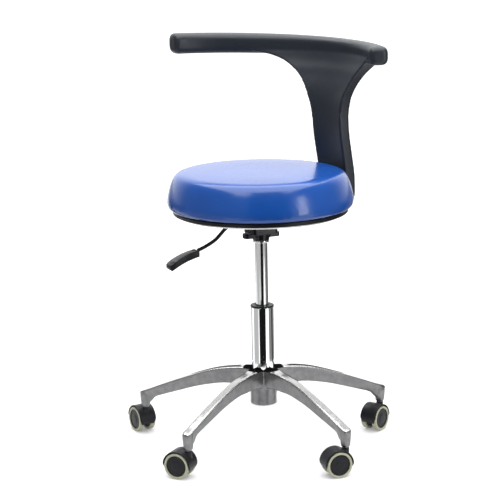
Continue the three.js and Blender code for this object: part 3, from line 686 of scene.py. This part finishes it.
def lever():
    radius = 4 * MM
    path = curve_through([(x * MM, LEVER_HEIGHT + z * MM) for x, z in LEVER_LINE], 72)
    rings = []
    for index, point in enumerate(path):
        along = (path[min(index + 1, len(path) - 1)] - path[max(index - 1, 0)]).normalized()
        across = Vector((-along.y, along.x))
        size = 0.8 if index in (0, len(path) - 1) else 1.0
        rings.append([
            Vector((point.x + across.x * radius * size * math.cos(angle), radius * size * math.sin(angle),
                    point.y + across.y * radius * size * math.cos(angle)))
            for angle in (math.tau * k / 32 for k in range(32))
        ])
    rod = loft("lever_bar", rings)
    eye = prism("eye", rectangle(14 * MM, 12 * MM, 2 * MM), LEVER_HEIGHT - 5.9 * MM, LEVER_HEIGHT + 5.9 * MM)
    moved(eye, Matrix.Translation((PIVOT_X, 0, 0)))
    bar = fused("lever_bar", [rod, eye], 0.6 * MM, 4)
    settle(moved(bar, at_column(LEVER_TURN)), "lever", "black_steel", "lever_rod")


def eased(name, node, body, slot, width, angle_deg):
    """A node's own solid with its edges eased."""
    piece = bpy.data.objects.new(name, frame["nodes"][node].data.copy())
    bpy.context.scene.collection.objects.link(piece)
    weld = piece.modifiers.new("weld", "WELD")
    weld.merge_threshold = 0.01 * MM
    apply_modifiers(piece)
    return settle(shade(bevelled(piece, width, 3, angle_deg), 50), body, slot, node)


def pivot_pin():
    low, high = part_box("lever_pivot_pin")
    length = (high - low).to_2d().length - 2 * MM
    radius = (high.z - low.z) / 2
    pin = turned("lever_pin", rounded([
        (0, -length / 2), (radius, -length / 2), (radius, length / 2), (0, length / 2),
    ], 0.5 * MM, 3, closed=False), 40)
    lay = Matrix.Rotation(math.radians(90), 4, "X")
    moved(pin, at_column(LEVER_TURN) @ Matrix.Translation((PIVOT_X, 0, LEVER_HEIGHT)) @ lay)
    settle(shade(pin), "seat", "steel", "lever_pivot_pin")


# ---------------------------------------------------------------- seat


def pan():
    """The dished pan: a bare steel lip below and a black band above it."""
    size = Extent("seat_pan")
    base = size.bottom
    split = size.top - 8.2 * MM
    lip = turned("pan_dish", rounded([
        (0, base), (size.radius - 11 * MM, base), (size.radius - 3.2 * MM, base + 3.4 * MM),
        (size.radius - 1.2 * MM, split), (size.radius - 6 * MM, split), (size.radius - 8 * MM, base + 3 * MM),
        (0, base + 3 * MM),
    ], 1.2 * MM, 4, closed=False), 160)
    settle(shade(moved(lip, at_column())), "seat", "steel", "seat_pan")
    band = turned("pan_band", rounded([
        (size.radius - 5.6 * MM, split + GAP), (size.radius - 0.9 * MM, split + GAP),
        (size.radius, size.top - 1 * MM), (size.radius - 0.8 * MM, size.top),
        (size.radius - 5 * MM, size.top),
    ], 0.8 * MM, 3), 160)
    settle(shade(moved(band, at_column())), "seat", "black_nylon")


def puffed(piece, held_below, cap, rounds=80):
    """Swells a closed skin by a short cloth simulation, held at its lower rim. The swelling is capped and
    evened out over the skin, which keeps the leather taut."""
    rest = [vertex.co.copy() for vertex in piece.data.vertices]
    rim = piece.vertex_groups.new(name="rim")
    rim.add([index for index, point in enumerate(rest) if point.z < held_below], 1.0, "REPLACE")
    cloth = piece.modifiers.new("puff", "CLOTH")
    cloth.settings.quality = 5
    cloth.settings.mass = 0.3
    cloth.settings.tension_stiffness = 40
    cloth.settings.compression_stiffness = 40
    cloth.settings.bending_stiffness = 20
    cloth.settings.use_pressure = True
    cloth.settings.uniform_pressure_force = 4
    cloth.settings.effector_weights.gravity = 0
    cloth.settings.vertex_group_mass = "rim"
    for step in range(1, 21):
        bpy.context.scene.frame_set(step)
    apply_modifiers(piece)
    bpy.context.scene.frame_set(1)
    start = numpy.array(rest)
    count = len(start)
    swelling = numpy.array([vertex.co for vertex in piece.data.vertices]) - start
    length = numpy.linalg.norm(swelling, axis=1, keepdims=True)
    swelling *= numpy.minimum(1, cap / numpy.maximum(length, 1e-9))
    edges = numpy.array([edge.vertices for edge in piece.data.edges])
    neighbours = numpy.bincount(edges.ravel(), minlength=count)[:, None]
    for _ in range(rounds):
        total = numpy.zeros_like(swelling)
        numpy.add.at(total, edges[:, 0], swelling[edges[:, 1]])
        numpy.add.at(total, edges[:, 1], swelling[edges[:, 0]])
        swelling = total / neighbours
    piece.data.vertices.foreach_set("co", (start + swelling).ravel())
    return piece


# The cushion's side in millimetres: radius, and depth below the crown.
CUSHION_SIDE = [(191, 79), (196.5, 73), (198, 64), (197, 53), (194, 39), (190.5, 26), (186.5, 15),
                (182, 6.8), (176.5, 2.2), (169, 0.4), (160, 0)]


def cushion():
    """Foam under one stretched skin: a flat top, a sloping side, and small pleats where the skin is
    drawn in over the board's edge."""
    size = Extent("seat_cushion")
    seat_board = Extent("seat_board")
    inset = 2
    last_inset = 70            # the lower rim, further below the crown, isn't drawn in
    outline = [(0, seat_board.top + GAP), (seat_board.radius, seat_board.top + GAP),
               (seat_board.radius, size.bottom)]
    outline += [((radius - inset) * MM, size.top - (below + (inset if below < last_inset else 0)) * MM)
                for radius, below in CUSHION_SIDE]
    outline.append((0, size.top - inset * MM))
    pad = fused("cushion", [turned("pad", outline, 128)], 5 * MM, 9)
    puffed(pad, size.bottom + 7 * MM, 2 * MM)
    pad.modifiers.new("fine", "SUBSURF").levels = 1
    apply_modifiers(pad)
    spread = size.radius / max(vertex.co.to_2d().length for vertex in pad.data.vertices)
    lift = size.top - max(vertex.co.z for vertex in pad.data.vertices)
    for vertex in pad.data.vertices:
        point = vertex.co
        height = point.z + lift * smoothstep(point.z, size.bottom + 5 * MM, size.top - 10 * MM)
        pleat = smoothstep(size.bottom + 11 * MM - height, 0, 11 * MM)
        angle = math.atan2(point.y, point.x)
        fold = noise.noise(Vector((18 * math.cos(angle), 18 * math.sin(angle), 0.7)))
        reach = spread * (1 - 0.0035 * pleat * max(0, fold))
        if point.to_2d().length < seat_board.radius + 1 * MM:
            height = max(height, seat_board.top + GAP)
        vertex.co = (point.x * reach, point.y * reach, max(height, size.bottom))
    pad.data.shade_smooth()
    moved(pad, at_column())
    settle(pad, "seat", "blue_leather", "seat_cushion")


# ---------------------------------------------------------------- back and arm rest

# Middle of the stem, in millimetres: height, and distance out from the column.
RAIL_Z = 839
BEND_RADIUS = 300              # of the rail, and of the stem's faces
RAIL_SETBACK = 54
STEM_LINE = [(513, 212.5), (545, 213.5), (580, 211.5), (620, 205), (665, 198), (710, 196), (750, 201),
             (790, 219), (815, 235), (RAIL_Z, BEND_RADIUS - RAIL_SETBACK)]
RAIL_RISE = 9                  # per radian, towards the long end
RAIL_ENDS = (-29, 82.5)        # in degrees from the stem
RAIL_HALF_THICK = 20.5
RAIL_HALF_HEIGHT = 21
STEM_HALF_WIDTH = 50
STEM_THICK = 24
FLARE_HEIGHT = 145             # the stem's edges run out sideways over this height
SHORT_FLARE = (690, 115, 128)  # start, width and limit
LONG_FLARE = (685, 220, 240)


def bent(along, outward, setback, height):
    """A point of the rest in metres, from millimetres along its bend, out from it and up."""
    angle = along / BEND_RADIUS
    reach = BEND_RADIUS + outward
    return Vector((reach * math.cos(angle) - setback, reach * math.sin(angle), height)) * MM


def stem_edge(height, start, width, limit):
    rise = min(max((height - start) / FLARE_HEIGHT, 0), 1)
    return min(STEM_HALF_WIDTH + width * (1 - math.sqrt(1 - rise**2)), limit)


def stem():
    rings = []
    for height, reach in curve_through(STEM_LINE, 90):
        foot = 6 * (1 - smoothstep(height, 513, 533))
        thick = STEM_THICK - foot + 12 * smoothstep(height, RAIL_Z - 64, RAIL_Z)
        short, long = stem_edge(height, *SHORT_FLARE), stem_edge(height, *LONG_FLARE)
        corners = [(-short, -thick / 2), (long, -thick / 2), (long, thick / 2), (-short, thick / 2)]
        outline = []
        for a, b in zip(corners, corners[1:] + corners[:1]):
            divisions = 24 if abs(a[0] - b[0]) > 1 else 2
            outline += [(a[0] + (b[0] - a[0]) * k / divisions, a[1] + (b[1] - a[1]) * k / divisions)
                        for k in range(divisions)]
        rings.append([bent(along, out, BEND_RADIUS - reach, height) for along, out in outline])
    return loft("stem", rings)


def rail():
    x, y = RAIL_HALF_THICK, RAIL_HALF_HEIGHT
    section = rounded([(-x, -y), (x, -y), (x, y), (-x, y)], 15, 8)
    start, end = (math.radians(angle) * BEND_RADIUS for angle in RAIL_ENDS)
    cap = 11
    stations = [start + cap * (1 - math.cos(k / 8 * math.pi / 2)) for k in range(8)]
    stations += [start + cap + (end - start - 2 * cap) * k / 90 for k in range(91)]
    stations += [end - cap * (1 - math.cos(k / 8 * math.pi / 2)) for k in range(7, -1, -1)]
    rings = []
    for along in stations:
        inside = min(along - start, end - along, cap) / cap
        shrink = 9.5 * (1 - math.sqrt(1 - (1 - inside) ** 2))
        lift = RAIL_RISE * along / BEND_RADIUS
        deeper = 3.5 * along / end if along > 0 else 2 * along / -start
        rings.append([bent(along, out * (1 - shrink / 20), RAIL_SETBACK,
                           RAIL_Z + lift + (up if up > 0 else up * (1 + deeper / y)) * (1 - shrink / 20))
                      for out, up in section])
    return loft("rail", rings)


def rest():
    shell = fused("rest_moulding", [stem(), rail()], 2.0 * MM, 14)
    settle(moved(shell, at_column(REST_TURN)), "seat", "soft_black", "backrest_shell")


# ---------------------------------------------------------------- casters

WHEEL_RADIUS = middle("caster_1_tread_left").z
TRAIL = (joint_place("caster_1_spin_left") - joint_place("caster_1_swivel")).to_2d().length
WHEEL_INNER = 8.2 * MM         # inner face of a wheel, from the caster's middle plane
WHEEL_OUTER = 20 * MM
CORE_RADIUS = 21.6 * MM
AXLE_RADIUS = 3 * MM
HOOD_RADIUS = 31.4 * MM
HOOD_WALL = 2.8 * MM
HOOD_HALF_WIDTH = 20.4 * MM
BOSS_RADIUS = 7.5 * MM
BOSS_BOTTOM = 20 * MM
BOSS_TOP = 59.5 * MM


def caster_place(number):
    """From a caster's own frame, with its stem on Z and its wheels along +X, to the stool's."""
    stem_at = joint_place(f"caster_{number}_swivel")
    trail = joint_place(f"caster_{number}_spin_left") - stem_at
    return Matrix.Translation((stem_at.x, stem_at.y, 0)) @ Matrix.Rotation(heading(trail), 4, "Z")


def on_axle(side):
    """Lays a wheel turned about Z on the axle; side is 1 for left and -1 for right."""
    return Matrix.Translation((TRAIL, 0, WHEEL_RADIUS)) @ Matrix.Rotation(-side * math.radians(90), 4, "X")


def hood_shape():
    """An arch over both wheels with pointed tips and a soft outer edge, a web that holds the axle, and
    the boss round the stem."""
    first, last = math.radians(-12), math.radians(196)
    steps = 64
    rings = []
    for step in range(steps + 1):
        angle = first + (last - first) * step / steps
        from_tip = min(step, steps - step) / steps * (last - first)
        wall = HOOD_WALL * (0.25 + 0.75 * smoothstep(from_tip, 0, math.radians(16)))
        half = HOOD_HALF_WIDTH * (0.80 + 0.20 * smoothstep(from_tip, 0, math.radians(26)))
        inner = HOOD_RADIUS - HOOD_WALL
        section = rounded([(inner, -half), (inner + wall, -half + 1.2 * MM), (inner + wall, half - 1.2 * MM),
                           (inner, half)], 1.1 * MM, 3)
        rings.append([Vector((TRAIL + reach * math.cos(angle), side, WHEEL_RADIUS + reach * math.sin(angle)))
                      for reach, side in section])
    arch = loft("arch", rings)
    web_reach = HOOD_RADIUS - 1 * MM
    edge = [(TRAIL + web_reach * math.cos(first + (last - first) * k / 40),
             WHEEL_RADIUS + web_reach * math.sin(first + (last - first) * k / 40)) for k in range(41)]
    edge += [(TRAIL - 5 * MM, WHEEL_RADIUS - 9 * MM), (TRAIL + 5 * MM, WHEEL_RADIUS - 9 * MM)]
    web = loft("web", [[Vector((x, side, z)) for x, z in edge] for side in (-3 * MM, 3 * MM)])
    boss = turned("boss", rounded([
        (0, BOSS_BOTTOM), (BOSS_RADIUS, BOSS_BOTTOM), (BOSS_RADIUS, BOSS_TOP), (0, BOSS_TOP),
    ], 0.8 * MM, 3, closed=False), 48)
    reach, half = 6.5 * MM, 7.2 * MM
    hub = turned("hub", [(0, -half), (reach, -half), (reach, half), (0, half)], 40)
    return fused("hood", [arch, web, boss, moved(hub, on_axle(1))], 0.9 * MM, 3)


def wheel_shape():
    """A moulded disc: a dished face inside a raised rim, and a flat cap in the middle."""
    face = WHEEL_OUTER - 0.6 * MM
    inner = AXLE_RADIUS + GAP
    blind = WHEEL_OUTER - 3.5 * MM      # bottom of the axle's hole
    groove = WHEEL_INNER + 3 * MM
    outline = [
        (0, blind), (inner, blind), (inner, WHEEL_INNER), (8 * MM, WHEEL_INNER), (9 * MM, groove),
        (18.5 * MM, groove), (19.5 * MM, WHEEL_INNER), (CORE_RADIUS, WHEEL_INNER),
        (CORE_RADIUS, face), (CORE_RADIUS - 1.7 * MM, face), (CORE_RADIUS - 2.6 * MM, face - 1.1 * MM),
        (13 * MM, face - 0.9 * MM), (9.5 * MM, face - 0.5 * MM), (8.8 * MM, face + 0.1 * MM),
        (0, face + 0.4 * MM),
    ]
    return shade(turned("wheel", rounded(outline, 0.5 * MM, 3, closed=False), 80), 45)


def tread_shape():
    """A soft tyre with a rounded crown."""
    inner = CORE_RADIUS + 0.35 * MM
    outline = rounded([
        (inner, WHEEL_INNER), (WHEEL_RADIUS, WHEEL_INNER), (WHEEL_RADIUS, WHEEL_OUTER), (inner, WHEEL_OUTER),
    ], 2.6 * MM, 6)
    return shade(turned("tread", outline, 96), 45)


def stem_shape():
    size = Extent("caster_1_stem")
    neck = 59.8 * MM
    collar = BASE.bottom - GAP
    return shade(turned("stem", rounded([
        (0, size.bottom), (4 * MM, size.bottom), (4 * MM, neck), (7.1 * MM, neck), (7.1 * MM, collar),
        (5.45 * MM, collar), (5.05 * MM, size.top), (0, size.top),
    ], 0.3 * MM, 2, closed=False), 48))


def axle_shape():
    half = WHEEL_OUTER - 4.2 * MM
    return shade(turned("axle", rounded([
        (0, -half), (AXLE_RADIUS, -half), (AXLE_RADIUS, half), (0, half)], 0.4 * MM, 3, closed=False), 40))


def casters():
    """Five casters from one set of shapes."""
    hood, wheel, tread = hood_shape(), wheel_shape(), tread_shape()
    stem_pin, axle = stem_shape(), axle_shape()

    def copy(shape, name, matrix, body, slot, node):
        piece = bpy.data.objects.new(name, shape.data.copy())
        bpy.context.scene.collection.objects.link(piece)
        settle(moved(piece, matrix), body, slot, node)

    for number in CASTERS:
        place = caster_place(number)
        prefix = f"caster_{number}"
        copy(stem_pin, f"{prefix}_pin", place, "base", "steel", f"{prefix}_stem")
        copy(hood, f"{prefix}_cover", place, prefix, "black_nylon", f"{prefix}_hood")
        copy(axle, f"{prefix}_shaft", place @ on_axle(1), prefix, "steel", f"{prefix}_axle")
        for side, sign in (("left", 1), ("right", -1)):
            body = f"{prefix}_roller_{side}"
            on = place @ on_axle(sign)
            copy(wheel, f"{prefix}_disc_{side}", on, body, "black_nylon", f"{prefix}_wheel_{side}")
            copy(tread, f"{prefix}_tyre_{side}", on, body, "grey_tread", f"{prefix}_tread_{side}")
    for shape in (hood, wheel, tread, stem_pin, axle):
        bpy.data.objects.remove(shape)


# ---------------------------------------------------------------- the object


def board():
    size = Extent("seat_board")
    piece = turned("seat_panel", rounded([
        (0, size.bottom), (size.radius, size.bottom), (size.radius, size.top), (0, size.top),
    ], 1 * MM, 3, closed=False), 128)
    settle(shade(moved(piece, at_column())), "seat", "plywood", "seat_board")


star_base()
gas_lift()
spring_clip()
mechanism()
lever()
eased("lever_grip", "lever_paddle", "lever", "black_nylon", 1.1 * MM, 40)
pivot_pin()
for number in range(1, 5):
    bolt(f"plate_screw_{number}", f"plate_bolt_{number}")
for number in range(1, 3):
    bolt(f"strap_screw_{number}", f"strap_bolt_{number}")
pan()
board()
cushion()
eased("rest_strap", "backrest_strap", "seat", "black_steel", 0.6 * MM, 50)
rest()
casters()

# ---------------------------------------------------------------- stage, light and camera


def flag(name, from_deg, to_deg, radius, bottom, top, shade_of_grey):
    """A curved screen beside the object that only mirrors show, as studios use on chrome. Angles are
    from the side of the camera, turning towards +X."""
    vertices, faces = [], []
    steps = 24
    for step in range(steps + 1):
        angle = math.radians(from_deg + (to_deg - from_deg) * step / steps)
        x, y = COLUMN.x + radius * math.sin(angle), COLUMN.y - radius * math.cos(angle)
        vertices += [(x, y, bottom), (x, y, top)]
    for step in range(steps):
        faces.append((2 * step, 2 * step + 1, 2 * step + 3, 2 * step + 2))
    screen = mesh_object(name, vertices, faces)
    glow = bpy.data.materials.new(name)
    glow.use_nodes = True
    nodes = glow.node_tree.nodes
    nodes.clear()
    output, emission = nodes.new("ShaderNodeOutputMaterial"), nodes.new("ShaderNodeEmission")
    emission.inputs["Color"].default_value = rgb(shade_of_grey, shade_of_grey, shade_of_grey)
    glow.node_tree.links.new(emission.outputs[0], output.inputs["Surface"])
    screen.data.materials.append(glow)
    for kind in ("camera", "diffuse", "transmission", "shadow", "volume_scatter"):
        setattr(screen, "visible_" + kind, False)


def lamp(name, place, aim, size, power):
    data = bpy.data.lights.new(name, "AREA")
    data.shape = "RECTANGLE"
    data.size, data.size_y = size
    data.energy = power
    light = bpy.data.objects.new(name, data)
    light.location = place
    light.rotation_euler = (Vector(aim) - Vector(place)).to_track_quat("-Z", "Y").to_euler()
    bpy.context.scene.collection.objects.link(light)
    light.visible_camera = False


def floor():
    """A white floor that glows towards the back, where it runs into the white wall, and is painted dark far
    out to the sides and on the camera's side, as painted shade where a studio's light falls off."""
    size = 30
    ground = mesh_object("floor", [(-size, -size, 0), (size, -size, 0), (size, size, 0), (-size, size, 0)],
                         [(0, 1, 2, 3)])
    look = Look("pale_floor", Roughness=0.7, Specular_IOR_Level=0.2)
    white = look.blend(look.noise(3, 2), rgb(0.56, 0.56, 0.566), rgb(0.55, 0.55, 0.556))
    apart = look.node("ShaderNodeSeparateXYZ", {0: look.place}).outputs
    depth, aside = apart["Y"], look.math("ABSOLUTE", apart["X"], 0.0)
    beyond = look.math("SUBTRACT", aside, look.math("MULTIPLY", look.math("MAXIMUM", depth, 0.0), 0.16))
    in_front, to_side = look.scaled(depth, -1.5, -0.6, 0, 1), look.scaled(beyond, 1.2, 1.9, 1, 0)
    white_part = look.math("MULTIPLY", in_front, to_side)
    # painted shade: the floor's colour goes dark in front of the camera and far out to the sides
    look.drive("Base Color", look.blend(white_part, rgb(0.26, 0.26, 0.26), white))
    look.shader.inputs["Emission Color"].default_value = rgb(1, 1, 1)
    behind = look.scaled(depth, 0.5, 2.4, 0.25, 0.9)
    look.drive("Emission Strength", look.math("MULTIPLY", behind, white_part))
    ground.data.materials.append(look.material)
    moved(ground, Matrix.Translation((0, 0, -0.2 * MM)))


def room():
    """Dark on the camera's side and bright behind the object."""
    world = bpy.data.worlds.new("room")
    bpy.context.scene.world = world
    world.use_nodes = True
    tree = world.node_tree
    background = tree.nodes["Background"]
    background.inputs["Color"].default_value = rgb(1, 1, 1)
    way = tree.nodes.new("ShaderNodeSeparateXYZ")
    tree.links.new(tree.nodes.new("ShaderNodeTexCoord").outputs["Generated"], way.inputs[0])
    fade = tree.nodes.new("ShaderNodeMapRange")
    for socket, value in (("From Min", 0.35), ("From Max", 0.8), ("To Min", 0.34), ("To Max", 1.5)):
        fade.inputs[socket].default_value = value
    tree.links.new(way.outputs["Y"], fade.inputs["Value"])
    tree.links.new(fade.outputs[0], background.inputs["Strength"])


def studio():
    room()
    floor()
    flag("low_flag", -30, 31, 0.62, 0.002, 0.17, 0.01)
    flag("front_flag", -13, 31, 0.62, 0.17, 1.1, 0.01)
    flag("left_flag", -92, -40, 0.64, 0.002, 0.5, 0.55)
    flag("right_flag", 64, 148, 0.66, 0.002, 0.5, 0.26)
    flag("right_dark", 98, 116, 0.64, 0.002, 0.5, 0.03)
    flag("left_edge", -136, -122, 0.66, 0.002, 0.5, 0.03)
    flag("rear_right", 158, 172, 0.7, 0.002, 0.6, 0.15)
    flag("rear_left", -174, -160, 0.7, 0.002, 0.6, 0.25)
    lamp("overhead", (0.1, -0.65, 2.65), (0.1, -0.65, 0), (3.6, 4.7), 230)
    lamp("strip", (1.45, -1.22, 0.70), (0, 0, 0.6), (0.34, 1.2), 8.5)
    bpy.context.scene.view_settings.view_transform = "Standard"


def camera():
    """A long lens a little above the seat, looking along +Y."""
    data = bpy.data.cameras.new("camera")
    data.lens = 120.1
    data.sensor_width = 36
    data.clip_start, data.clip_end = 0.1, 60
    view = bpy.data.objects.new("camera", data)
    pitch, roll = math.radians(12.2), math.radians(-1.05)
    turn = Matrix.Rotation(math.radians(90) - pitch, 4, "X") @ Matrix.Rotation(roll, 4, "Z")
    view.matrix_world = Matrix.Translation(COLUMN + Vector((-23.9, -3481.7, 1181.5)) * MM) @ turn
    bpy.context.scene.collection.objects.link(view)
    bpy.context.scene.camera = view


studio()
camera()
